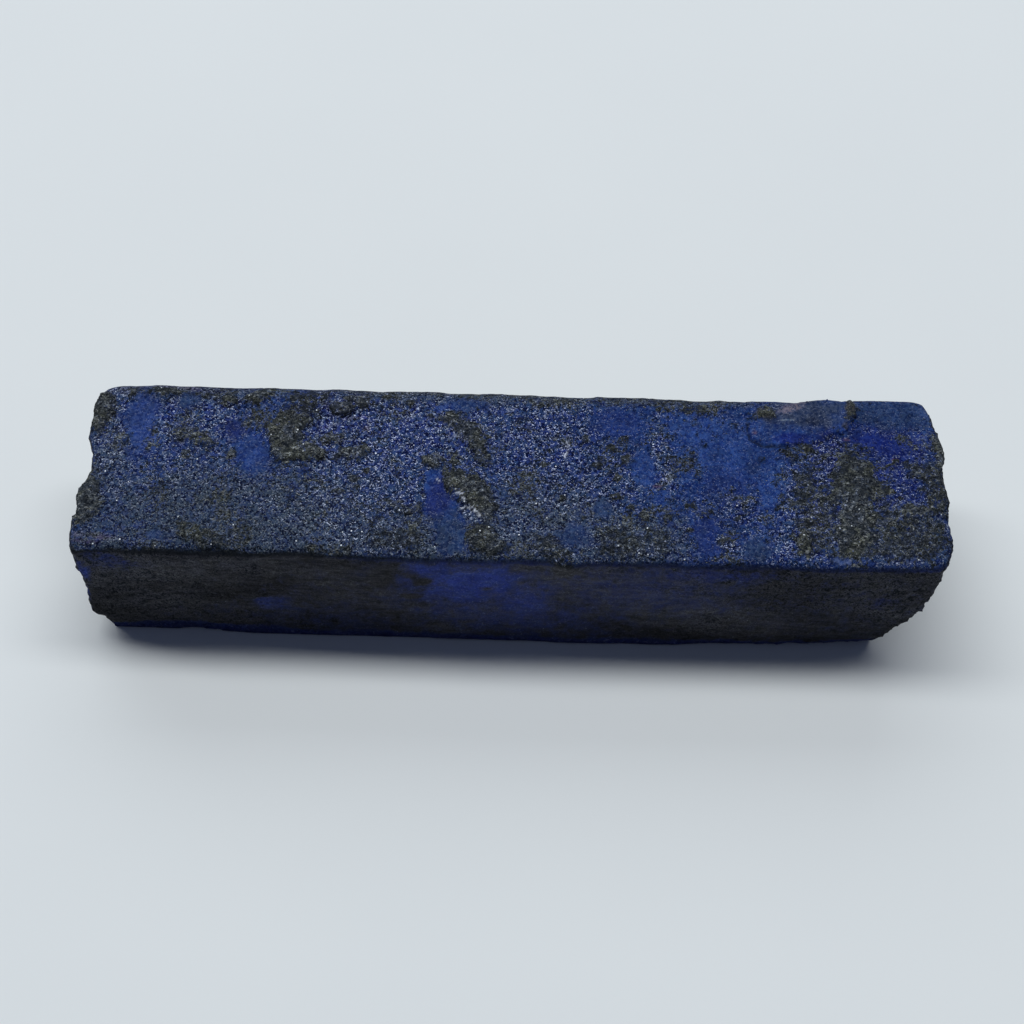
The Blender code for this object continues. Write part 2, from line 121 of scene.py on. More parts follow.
# Crust on the top, as outlines from above: name: how solid it is, how far it rises, outline
CRUST_PATCHES = {
    "left back nodule": (1.0, 0.30, [
        (-39.0, 7.3), (-37.6, 7.9), (-37.0, 7.9), (-36.6, 7.0), (-36.1, 5.9), (-36.3, 5.3), (-36.9, 4.5),
        (-36.9, 3.6), (-39.0, 3.6)]),
    "left front lump": (1.0, 0.25, [
        (-39.0, -1.6), (-37.6, -0.5), (-37.2, -0.9), (-36.6, -2.4), (-36.1, -3.7), (-36.1, -5.1),
        (-36.7, -5.5), (-37.1, -6.0), (-39.0, -5.9)]),
    "left back strip": (0.62, 0.14, [
        (-35.2, 8.3), (-31.0, 8.3), (-28.0, 8.0), (-26.5, 8.0), (-26.5, 7.5), (-30.4, 7.7), (-31.6, 7.4),
        (-35.0, 7.3)]),
    "back lump": (1.0, 0.38, [(-26.5, 7.7), (-25.6, 7.9), (-25.1, 7.2), (-25.6, 6.7), (-26.4, 6.9)]),
    "slanted back lump": (1.0, 0.42, [
        (-24.6, 7.2), (-24.1, 7.9), (-22.7, 8.5), (-21.9, 8.6), (-22.3, 7.6), (-23.5, 7.0)]),
    "brown lump": (0.7, 0.34, [(-23.9, 5.2), (-23.5, 6.0), (-22.7, 6.3), (-22.6, 5.6), (-23.3, 5.0)]),
    "left scatter": (0.45, 0.20, [
        (-31.0, 3.4), (-29.4, 4.3), (-27.5, 3.6), (-26.6, 2.4), (-27.3, 1.9), (-28.7, 2.4), (-30.0, 2.5)]),
    "big patch": (0.86, 0.22, [
        (-22.4, 4.1), (-21.4, 4.7), (-20.8, 5.6), (-18.4, 5.6), (-18.2, 4.5), (-19.1, 3.4), (-18.7, 2.2),
        (-17.4, 2.1), (-16.6, 1.6), (-17.0, 0.9), (-18.5, 0.55), (-20.2, 0.6), (-21.0, 0.9), (-21.4, 1.8),
        (-21.7, 2.9)]),
    "big patch back": (0.34, 0.18, [
        (-21.0, 5.0), (-20.6, 5.9), (-19.8, 7.2), (-18.9, 8.4), (-16.6, 8.6), (-16.4, 7.4), (-17.4, 6.5),
        (-17.2, 5.5), (-18.4, 4.8)]),
    "nodule": (1.0, 0.40, [
        (-16.3, 6.4), (-15.3, 7.0), (-14.6, 6.5), (-14.7, 5.8), (-15.3, 5.6), (-16.1, 6.0)]),
    "dark knob": (1.0, 0.45, [(-15.0, 7.9), (-13.8, 7.9), (-13.0, 6.9), (-13.6, 6.6), (-14.6, 7.2)]),
    "middle lump": (0.7, 0.38, [(-17.4, 2.9), (-16.4, 3.7), (-15.2, 3.5), (-15.3, 2.8), (-16.4, 2.6)]),
    "middle lump 2": (0.85, 0.32, [
        (-15.6, 1.3), (-15.0, 2.2), (-13.3, 2.4), (-13.0, 1.5), (-14.2, 1.0)]),
    "smile": (0.55, 0.26, [
        (-11.5, -2.9), (-11.1, -3.8), (-10.0, -4.4), (-9.0, -4.7), (-8.0, -4.3), (-7.7, -3.4),
        (-8.6, -3.7), (-9.4, -3.8), (-10.6, -3.5)]),
    "front left strip": (0.22, 0.12, [
        (-12.2, -6.3), (-9.8, -6.0), (-7.9, -6.6), (-7.6, -8.2), (-10.0, -8.4), (-12.3, -8.0)]),
    "left ridges": (0.6, 0.26, [
        (-29.0, -6.1), (-27.5, -6.4), (-25.6, -7.0), (-24.0, -8.3), (-26.0, -8.3), (-28.9, -7.2)]),
    "vein head": (0.84, 0.24, [
        (-6.7, 5.7), (-5.7, 5.9), (-4.9, 6.8), (-4.4, 6.1), (-4.6, 5.3), (-4.1, 5.0), (-3.1, 5.0),
        (-3.0, 4.0), (-2.2, 3.6), (-2.0, 2.9), (-2.6, 2.0), (-2.0, 1.4), (-2.4, 0.6), (-3.1, 0.9),
        (-3.4, 2.0), (-4.0, 2.9), (-4.1, 3.7), (-4.9, 3.7), (-5.1, 4.6), (-6.3, 5.2)]),
    "vein knot": (1.0, 0.34, [(-7.8, 1.2), (-7.0, 1.5), (-6.3, 1.3), (-6.5, 0.3), (-7.5, 0.3)]),
    "vein knot 2": (0.9, 0.26, [(-5.8, 1.7), (-5.0, 1.8), (-4.8, 1.0), (-5.5, 0.8)]),
    "vein body": (0.85, 0.26, [
        (-6.1, 1.1), (-5.6, 0.1), (-4.9, -0.2), (-3.0, -0.5), (-2.2, -1.4), (-1.8, -2.6), (-1.3, -3.7),
        (-1.5, -5.1), (-2.3, -5.6), (-2.9, -4.4), (-3.6, -3.7), (-4.4, -2.7), (-5.0, -2.2), (-5.7, -2.1),
        (-6.0, -1.3), (-6.2, 0.0)]),
    "vein foot": (0.66, 0.20, [
        (-3.2, -5.8), (-2.0, -5.5), (-1.3, -6.1), (-0.8, -7.1), (-0.2, -8.2), (-1.6, -8.6), (-2.9, -8.4),
        (-3.7, -7.2)]),
    "back strip": (0.62, 0.12, [(1.2, 8.6), (5.0, 8.4), (5.0, 7.6), (3.0, 7.5), (1.3, 7.7)]),
    "back strip 2": (0.62, 0.12, [(12.8, 7.6), (15.0, 7.8), (18.0, 7.7), (17.8, 7.0), (13.0, 6.9)]),
    "front strip 1": (0.26, 0.12, [
        (1.9, -6.6), (3.6, -6.4), (5.4, -7.7), (5.6, -9.3), (3.6, -9.3), (2.2, -8.2)]),
    "front strip 2": (0.26, 0.12, [
        (7.4, -5.8), (9.2, -5.2), (11.6, -6.1), (12.2, -8.3), (9.0, -8.7), (7.6, -7.9)]),
    "front strip 3": (0.26, 0.12, [
        (11.4, -5.1), (13.4, -5.4), (14.0, -7.2), (13.2, -8.4), (12.0, -7.8)]),
    "right body": (0.82, 0.14, [
        (29.0, 2.1), (29.9, 2.1), (30.9, 2.3), (31.7, 2.0), (32.2, 0.9), (32.3, -0.3), (33.0, -0.5),
        (34.1, -1.6), (32.6, -1.7), (31.5, -2.4), (31.6, -3.2), (32.1, -3.9), (31.9, -4.9), (31.3, -5.5),
        (31.2, -7.0), (30.7, -8.1), (28.7, -8.1), (28.2, -7.1), (28.1, -5.7), (28.8, -4.4), (28.1, -4.0),
        (28.9, -3.3), (28.8, -2.4), (27.9, -2.9), (27.3, -2.4), (27.9, -1.7), (28.1, -0.6), (28.8, 0.7)]),
    "right spur": (0.18, 0.18, [
        (29.2, 3.8), (29.9, 4.1), (30.9, 3.9), (31.0, 3.0), (30.7, 2.0), (29.2, 2.0), (29.6, 3.0)]),
    "right ridge": (0.6, 0.20, [
        (32.2, -3.0), (33.4, -3.5), (34.6, -2.6), (36.6, -2.7), (37.9, -1.6), (38.3, -3.4), (36.6, -3.9),
        (35.3, -4.4), (34.0, -4.1), (32.6, -4.2)]),
    "right field": (0.50, 0.14, [
        (34.6, 1.6), (36.2, 2.0), (37.6, 2.4), (38.5, 1.6), (38.4, -3.0), (36.4, -2.4), (36.2, -0.4),
        (35.4, 0.6)]),
    "right low field": (0.36, 0.12, [
        (31.0, -3.4), (35.0, -3.8), (37.6, -4.2), (38.0, -6.6), (36.2, -8.0), (33.2, -8.2), (31.0, -7.6)]),
    "right blend": (0.32, 0.10, [
        (26.6, -0.6), (28.4, -0.4), (28.6, -4.6), (28.4, -7.6), (26.4, -7.8), (25.0, -6.0), (25.6, -2.6)]),
    "flake crust": (0.80, 0.14, [(21.9, 7.2), (22.1, 6.2), (23.4, 6.2), (23.6, 7.2), (22.8, 7.6)]),
    "flake rim": (0.6, 0.12, [
        (29.7, 6.1), (30.6, 6.4), (31.2, 7.4), (30.8, 8.8), (30.2, 8.8), (30.4, 7.4)]),
    "right end nodule": (1.0, 0.25, [(37.5, 4.6), (39.0, 4.8), (39.0, 1.4), (37.7, 1.5)]),
    "mixed patch": (0.5, 0.16, [
        (24.8, 0.8), (26.4, 1.1), (26.9, -0.8), (26.2, -3.0), (24.6, -2.8), (24.9, -1.0)]),
    "mixed patch 2": (0.6, 0.22, [(24.8, -4.0), (26.0, -3.9), (26.1, -5.0), (25.0, -5.1)]),
    "nugget": (1.0, 0.38, [
        (25.0, -5.6), (25.6, -5.6), (26.1, -6.7), (25.9, -7.6), (25.1, -7.6), (24.8, -6.6)]),
    "small spot 1": (0.7, 0.28, [(23.8, 2.9), (24.6, 3.1), (25.4, 2.3), (25.0, 1.7), (24.2, 2.0)]),
    "small spot 2": (0.7, 0.24, [(26.0, 3.4), (27.0, 3.5), (27.0, 2.5), (26.3, 2.6)]),
}

# Knobs of crust on the top: x, y, half sizes, how far they stand out
KNOBS = [
    (-31.1, 7.9, 0.65, 0.35, 0.20), (-29.1, 1.1, 0.45, 0.55, 0.12), (-25.0, 1.4, 0.40, 0.60, 0.14),
    (-27.6, 2.9, 0.35, 0.40, 0.12), (-20.1, 7.1, 0.60, 0.30, 0.12), (-14.0, -1.0, 0.50, 0.45, 0.12),
    (-15.2, -2.4, 0.55, 0.30, 0.10), (-12.9, -0.2, 0.35, 0.30, 0.10), (-13.6, -2.0, 0.40, 0.30, 0.10),
    (10.2, 1.6, 0.60, 0.50, 0.14), (9.4, -0.3, 0.35, 0.50, 0.12), (7.5, 0.9, 0.50, 0.35, 0.12),
    (9.2, -2.4, 0.60, 0.40, 0.12), (6.6, 3.8, 0.35, 0.40, 0.12), (8.8, 2.8, 0.45, 0.35, 0.12),
    (11.7, -4.3, 0.50, 0.45, 0.12), (13.6, -4.5, 0.40, 0.40, 0.12), (10.5, -3.4, 0.35, 0.30, 0.10),
    (6.3, -4.6, 0.25, 0.25, 0.10), (15.7, -3.1, 0.50, 0.30, 0.08), (15.6, -5.6, 0.40, 0.25, 0.08),
    (17.1, 3.7, 0.40, 0.55, 0.14), (2.8, 0.9, 0.40, 0.35, 0.10), (4.5, -2.6, 0.30, 0.35, 0.10),
    (0.2, -2.1, 0.35, 0.25, 0.08), (19.8, -4.3, 0.30, 0.25, 0.08), (27.9, 2.4, 0.40, 0.35, 0.10),
    (34.1, 2.1, 0.35, 0.25, 0.12), (33.6, 1.6, 0.50, 0.20, 0.10), (25.0, -2.7, 0.70, 0.30, 0.10),
    (27.0, -3.9, 0.45, 0.25, 0.10), (22.2, 2.0, 0.40, 0.30, 0.08), (23.2, -3.0, 0.35, 0.45, 0.08),
    (20.4, -2.8, 0.28, 0.22, 0.06), (18.8, -6.6, 0.60, 0.25, 0.06), (-3.4, 6.9, 0.30, 0.25, 0.08),
    (-7.5, 5.9, 0.30, 0.25, 0.08), (-9.4, 7.3, 0.50, 0.30, 0.10), (-11.6, 7.9, 0.60, 0.30, 0.10),
]

# Smooth windows of bare crystal on the top: x, y, half sizes, turn in degrees
WINDOWS = [
    (-33.4, 4.4, 1.5, 3.4, 4), (-29.5, 7.0, 0.9, 0.8, 0), (-25.1, 4.1, 0.8, 0.9, 0),
    (-23.2, 1.2, 1.4, 2.0, 10), (-30.7, -7.2, 1.0, 0.7, 0), (-4.4, 7.4, 2.0, 0.9, 4),
    (-6.6, 6.8, 1.0, 0.4, 25), (9.4, 5.5, 2.0, 1.5, 0), (11.8, 0.7, 1.0, 1.6, 0),
    (17.0, 4.6, 2.8, 1.8, 10), (8.0, -3.7, 0.9, 0.9, 0), (5.6, -6.4, 1.5, 1.3, -10),
    (17.0, -6.2, 1.2, 2.0, 20), (21.3, -7.5, 1.1, 0.8, 0), (19.5, 2.0, 4.2, 3.4, 0),
    (22.6, -1.2, 1.5, 2.5, 0), (34.4, 7.4, 3.2, 1.3, -2), (28.6, -8.4, 1.0, 0.4, 0),
    (13.2, -2.4, 0.8, 1.0, 0), (23.8, 4.0, 2.6, 0.8, 0), (33.0, 3.9, 2.4, 0.8, -6),
    (20.2, -1.4, 1.1, 1.0, 0),
]

# The dark window in the middle and the flake at the back right, as outlines from above
DEEP_WINDOW = [
    (-7.7, 0.0), (-6.3, 0.1), (-6.0, -1.4), (-5.7, -2.4), (-4.9, -3.3), (-4.3, -4.3), (-4.0, -5.7),
    (-3.7, -8.4), (-6.3, -8.5), (-6.4, -6.4), (-7.0, -5.1), (-7.6, -4.0), (-7.6, -2.1),
]
FLAKE = [
    (21.2, 5.3), (21.4, 4.2), (22.3, 3.55), (24.7, 3.45), (26.6, 3.7), (27.6, 4.3), (28.7, 4.75),
    (30.0, 5.1), (30.5, 6.4), (31.0, 7.4), (30.5, 9.0), (29.6, 9.3), (28.4, 9.2), (27.3, 9.3),
    (26.4, 8.6), (25.3, 8.0), (24.3, 7.2), (23.6, 6.7), (22.9, 7.1), (22.1, 7.1), (21.6, 6.2),
]

# Where pale frost sparkles on the top, and where grey-green dust dulls it: x, y, half sizes, turn, strength
FROST = [
    (-9.5, 3.4, 9.0, 4.6, 0, 1.0), (-13.0, -2.2, 6.0, 3.2, 0, 0.75), (2.4, 2.2, 5.2, 6.4, 0, 0.60),
    (-29.8, 5.2, 6.5, 2.8, 0, 0.45), (-27.0, 0.0, 8.5, 3.0, 0, 0.28), (26.0, -3.0, 3.8, 6.4, 0, 0.35),
    (34.0, -5.0, 5.0, 4.0, 0, 0.28), (-16.0, 5.2, 2.6, 2.8, 20, 1.3), (4.8, 3.2, 0.7, 2.4, 4, 1.3),
    (13.4, 1.5, 0.9, 3.2, 8, 0.9), (21.2, -2.4, 2.6, 3.0, 0, 0.36), (28.0, 1.6, 2.0, 3.4, 0, 0.38),
    (36.0, 0.4, 3.0, 4.4, 0, 0.12), (-35.6, 3.0, 1.6, 5.0, 0, 0.5), (-3.2, -4.4, 1.1, 0.5, -40, 1.4),
    (18.0, -6.5, 2.2, 0.6, -30, 0.9), (8.0, -1.0, 3.4, 3.6, 0, 0.46), (-36.2, 7.6, 1.4, 0.9, 0, 1.0),
    (-10.0, -7.2, 3.0, 1.2, 0, 0.8), (-13.5, -5.6, 3.4, 1.8, 0, 0.7), (9.6, -7.0, 3.4, 1.6, 0, 0.8),
    (3.8, -7.8, 1.8, 1.2, 0, 0.7), (-2.0, -7.2, 1.2, 1.2, 0, 0.6),
]
DUST = [
    (-24.2, -5.2, 10.6, 4.6, 0, 0.95), (-34.0, -5.0, 3.0, 4.0, 0, 0.45), (-20.0, -8.6, 20.0, 1.2, 0, 1.1),
    (-10.0, -7.0, 7.0, 2.4, 0, 0.75), (2.2, -5.6, 6.4, 3.8, 0, 0.75), (-36.2, -2.0, 2.6, 7.5, 0, 0.60),
    (10.0, -6.8, 5.0, 2.4, 0, 0.85), (34.6, -6.0, 4.0, 2.8, 0, 0.50), (-18.0, -2.8, 7.0, 2.6, 0, 0.30),
    (-28.0, 8.0, 8.0, 0.8, 0, 0.60), (-6.0, 8.2, 9.0, 0.8, 0, 0.75), (10.0, 8.2, 12.0, 0.6, 0, 0.50),
]

# Linear colours of the crystal on the top, and where they lie: x, y, half sizes, turn, strength
BLUE = (0.0136, 0.043, 0.172)
TOP_TINTS = {
    "indigo": ((0.010, 0.021, 0.118), [
        (-25.1, 4.1, 1.2, 1.2, 0, 0.9), (-6.2, -2.6, 1.2, 2.6, -14, 1.0), (9.4, 5.4, 2.4, 1.8, 0, 0.5),
        (-33.2, 1.8, 1.4, 1.2, 0, 0.4), (17.6, -6.0, 2.0, 2.6, 0, 0.6), (19.0, -1.4, 2.4, 2.8, 0, 0.5)]),
    "royal": ((0.006, 0.017, 0.140), [
        (28.2, 2.2, 1.8, 2.8, 0, 1.0), (33.4, 4.0, 3.6, 2.2, -8, 0.9), (33.4, 1.0, 1.6, 1.2, 0, 1.0),
        (25.2, 4.1, 1.8, 0.6, 0, 0.9), (34.8, -1.0, 1.4, 1.6, 0, 0.8), (32.8, -2.5, 1.2, 0.8, 0, 0.8),
        (26.0, -1.4, 1.4, 2.4, 0, 0.6), (27.4, -4.4, 1.6, 1.4, 0, 0.5), (3.0, 3.6, 3.0, 3.6, 0, 0.3)]),
    "back slate": ((0.046, 0.057, 0.112), [
        (-31.0, 8.9, 8.5, 0.75, 0, 1.0), (-36.6, 8.6, 2.0, 0.7, -20, 0.8)]),
    "back strip": ((0.038, 0.047, 0.070), [(-8.0, 8.9, 17.0, 0.6, 0, 0.9)]),
    "right back slate": ((0.028, 0.041, 0.085), [(14.5, 8.6, 7.5, 0.8, 0, 1.0)]),
    "flake slate": ((0.034, 0.049, 0.092), [(26.4, 7.0, 3.8, 1.7, 4, 0.9)]),
    "slate": ((0.021, 0.043, 0.105), [
        (-29.5, 7.0, 1.2, 1.0, 0, 0.8), (5.6, -6.4, 2.0, 1.6, 0, 0.7),
        (21.3, -7.5, 1.4, 1.0, 0, 0.9), (-3.0, 7.6, 3.0, 1.0, 0, 0.7), (-33.3, 6.4, 1.4, 1.4, 0, 0.5),
        (-5.2, -6.8, 1.5, 2.2, 0, 0.9), (-30.7, -7.2, 1.6, 1.0, 0, 0.9), (8.0, -3.7, 1.3, 1.3, 0, 0.8)]),
    "corner slate": ((0.021, 0.045, 0.120), [(34.2, 7.4, 4.2, 1.7, 0, 0.9)]),
    "brown rim": ((0.050, 0.044, 0.032), [
        (30.4, 7.6, 0.45, 1.1, -14, 0.9), (22.7, 6.7, 0.9, 0.5, -10, 0.9), (29.8, 5.6, 0.3, 0.3, 0, 0.6)]),
    "clear": ((0.0215, 0.056, 0.206), [
        (-33.2, 4.6, 1.5, 3.2, 4, 0.9), (-23.2, 1.2, 1.8, 2.4, 10, 0.7), (17.0, 3.6, 5.0, 3.6, 10, 0.5),
        (11.8, 0.7, 1.2, 1.8, 0, 0.6), (22.6, 0.2, 1.6, 3.5, 0, 0.4), (-4.4, 7.4, 2.2, 0.9, 4, 0.15)]),
    "cornflower": ((0.032, 0.062, 0.210), [
        (-18.0, 2.9, 1.0, 1.1, 30, 0.5), (-16.0, 5.6, 2.2, 2.0, 30, 0.5), (-9.6, 4.4, 4.0, 2.4, 0, 0.35),
        (-23.0, 1.8, 1.4, 1.4, 0, 0.3), (-6.6, 6.9, 1.2, 0.5, 25, 0.5), (-33.2, 4.8, 1.4, 3.0, 4, 0.70)]),
    "pale": ((0.220, 0.260, 0.330), [
        (28.8, -8.3, 1.1, 0.35, 0, 0.22), (13.9, -0.2, 0.30, 0.40, 0, 0.7),
        # the thin line at (24.6, 6.05) is a painted highlight on the flake
        (24.6, 6.05, 0.75, 0.08, 2, 0.9), (-25.9, -7.0, 0.70, 0.18, -20, 0.5),
        (4.9, 3.2, 0.12, 1.1, 6, 0.7)]),
    "lavender": ((0.150, 0.165, 0.350), [
        (-16.8, 6.5, 0.9, 0.18, -35, 0.7), (-14.4, 5.5, 1.1, 0.16, 12, 0.7),
        (-16.4, 4.6, 0.9, 0.14, 20, 0.6)]),
    "mauve": ((0.150, 0.130, 0.175), [
        (25.3, 7.7, 1.35, 0.60, 30, 0.95), (-30.8, 8.6, 1.9, 0.35, 0, 0.8),
        (-35.4, -7.5, 1.2, 0.30, -12, 0.9), (-37.4, -7.3, 0.5, 0.25, 0, 0.7),
        (-27.8, 3.1, 0.5, 0.3, 0, 0.5)]),
    "rust": ((0.120, 0.050, 0.022), [
        (34.1, 2.2, 0.30, 0.22, 0, 0.9), (-36.6, -8.0, 1.4, 0.22, -6, 0.5),
        (15.6, -5.6, 0.35, 0.25, 0, 0.6), (21.7, 4.8, 0.22, 0.22, 0, 0.5), (13.0, -1.1, 0.5, 0.18, 0, 0.6),
        (-13.2, 4.4, 0.35, 0.3, 0, 0.5), (29.9, 4.2, 0.3, 0.2, 0, 0.5)]),
}

# Raised white marks on the top: x, y, half sizes, turn, strength
WHITE_MARKS = [
    (-4.45, -2.60, 0.30, 0.10, -15, 0.7), (-4.15, -3.05, 0.30, 0.09, -55, 0.8),
    (-4.00, -3.85, 0.28, 0.08, 5, 0.8), (-3.45, -4.02, 0.32, 0.08, -20, 0.9),
    (-3.08, -4.42, 0.30, 0.08, -62, 0.9), (-2.75, -4.78, 0.20, 0.08, -30, 0.7),
    (-6.45, -1.05, 0.08, 0.22, 25, 0.8), (-5.70, 4.90, 0.08, 0.40, -30, 0.3),
    (-5.00, 3.80, 0.30, 0.08, -10, 0.4), (4.72, 1.95, 0.08, 0.30, -20, 0.7),
    (4.95, 3.20, 0.08, 0.45, 8, 0.3),
]

# The front face, as x, z, half sizes, turn, strength: where its crust is thin and crystal shows, where
# its crust is smooth, and where spots of crust lie on the crystal
FRONT_WINDOWS = [
    (-3.4, 11.2, 5.6, 3.6, 10, 1.0), (-7.4, 13.2, 2.4, 1.4, 0, 0.9), (1.4, 8.4, 3.2, 5.2, 0, 0.75),
    (-13.0, 7.0, 11.0, 6.0, 0, 0.28), (12.0, 10.5, 11.0, 6.0, 0, 0.55), (1.0, 5.0, 10.0, 5.0, 0, 0.62),
    (-3.0, 10.0, 8.0, 6.5, 0, 0.70), (9.0, 12.6, 8.5, 2.2, 0, 0.50), (17.0, 13.3, 7.5, 1.6, 0, 0.65),
    (-35.0, 13.1, 2.8, 1.4, -8, 0.60), (-37.7, 11.4, 0.9, 2.4, 0, 0.75), (-21.4, 6.0, 2.4, 1.8, 0, 0.65),
    (-10.0, 6.6, 1.8, 1.6, 0, 0.45), (33.2, 9.4, 2.2, 1.8, 0, 0.42), (28.0, 7.0, 10.0, 9.0, 0, 0.30),
    (-17.0, 3.5, 11.0, 3.4, 0, 0.45), (-36.2, 14.3, 1.6, 0.4, 0, 0.5),
]
FRONT_CALM = [(-3.0, 7.5, 23.0, 12.0, 0, 1.0), (26.0, 3.5, 9.0, 4.5, 0, 0.8)]
FRONT_SPOTS = [
    (-7.5, 11.0, 0.9, 0.5, 30, 0.5), (-8.7, 8.3, 1.0, 0.4, 0, 0.4), (-11.3, 11.6, 1.0, 1.6, 0, 0.4),
    (-2.0, 10.0, 0.6, 0.4, 0, 0.4), (4.8, 14.0, 0.8, 1.2, 0, 1.0),
]

# Linear colours of the crystal on the front, where its crust is thin, with a painted glow of light passing
# through the stone, elsewhere, and along its lower edge, a band of painted glow kept dark by painted
# shade near the floor, and on the other sides
FRONT_BLUE_AND_GLOW = (0.040, 0.070, 0.360)
FRONT_NAVY = (0.019, 0.029, 0.125)
FRONT_GLOW_BAND = (0.007, 0.012, 0.120)
SIDE_BLUE = (0.021, 0.037, 0.165)
FOOT_SHADE = 0.50  # how much painted shade darkens the front at its foot
LOWER_BAND = 2.0  # how high, in mm, the blue band of painted glow along the front's lower edge reaches


def smoothstep(low, high, value):
    """Goes smoothly from 0 to 1 as the value goes from low to high."""
    share = np.clip((value - low) / (high - low), 0.0, 1.0)
    return share * share * (3 - 2 * share)


def outline_depth(x, y, outline):
    """How far each point lies inside a closed outline, in mm: negative outside."""
    nearest = np.full(len(x), np.inf)
    inside = np.zeros(len(x), bool)
    corners = np.array(outline)
    for (ax, ay), (bx, by) in zip(corners, np.roll(corners, -1, 0)):
        run, rise = bx - ax, by - ay
        along = np.clip(((x - ax) * run + (y - ay) * rise) / (run ** 2 + rise ** 2), 0, 1)
        nearest = np.minimum(nearest, np.hypot(x - ax - along * run, y - ay - along * rise))
        crosses = (ay > y) != (by > y)
        safe_rise = rise if rise else 1.0
        inside ^= crosses & (x < run * (y - ay) / safe_rise + ax)
    return np.where(inside, nearest, -nearest)


def reach(x, y, centre_x, centre_y, half_x, half_y, turn=0.0):
    """Each point's distance from the middle of a turned ellipse: 1 on its rim."""
    cosine, sine = math.cos(math.radians(turn)), math.sin(math.radians(turn))
    across = (x - centre_x) * cosine + (y - centre_y) * sine
    up = (y - centre_y) * cosine - (x - centre_x) * sine
    return np.hypot(across / half_x, up / half_y)


def spots(x, y, ellipses, stray, softness=0.45):
    """The strongest of several soft ellipses at each point, their rims straying."""
    found = np.zeros(len(x))
    for *ellipse, strength in ellipses:
        edge = reach(x, y, *ellipse) + stray
        found = np.maximum(found, strength * smoothstep(1 + softness, 1 - softness, edge))
    return found


def even_skin():
    """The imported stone's shape as one even skin, its facets smoothed away."""
    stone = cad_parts["rough_sapphire"]
    skin = bpy.data.objects.new("sapphire_skin", stone.data.copy())
    bpy.context.scene.collection.objects.link(skin)
    bm = bmesh.new()
    bm.from_mesh(skin.data)
    bmesh.ops.remove_doubles(bm, verts=bm.verts, dist=0.001 * MM)
    bm.to_mesh(skin.data)
    bm.free()
    remesh = skin.modifiers.new("skin", "REMESH")
    remesh.mode = "VOXEL"
    remesh.voxel_size = SKIN_CELL
    smooth = skin.modifiers.new("facets away", "SMOOTH")
    smooth.factor = 0.5
    smooth.iterations = FACET_SMOOTHING
    bpy.context.view_layer.update()
    graph = bpy.context.evaluated_depsgraph_get()
    skin.data = bpy.data.meshes.new_from_object(skin.evaluated_get(graph))
    skin.modifiers.clear()
    return skin


def spend_faces_on_top(mesh):
    """Makes the flat underside one face, and splits the top's faces in four."""
    bm = bmesh.new()
    bm.from_mesh(mesh)
    bm.normal_update()
    base = [f for f in bm.faces if f.normal.z < -0.9 and max(v.co.z for v in f.verts) < BASE_LEVEL]
    bmesh.ops.dissolve_faces(bm, faces=base)
    top = {f for f in bm.faces if f.normal.z > TOP_LEAN and f.calc_center_median().z > TOP_START}
    edges = [edge for edge in bm.edges if not top.isdisjoint(edge.link_faces)]
    bmesh.ops.subdivide_edges(bm, edges=edges, cuts=1, use_grid_fill=True)
    bm.to_mesh(mesh)
    bm.free()


def read_points(mesh):
    """The mesh's points in mm, and their normals."""
    points = np.empty(3 * len(mesh.vertices))
    mesh.vertices.foreach_get("co", points)
    normals = np.array([vertex.normal for vertex in mesh.vertices])
    return points.reshape(-1, 3) / MM, normals


def blend(base, tint, share):
    """Moves each point's colour towards a tint by its share."""
    return base + (np.array(tint) - base) * share[:, None]


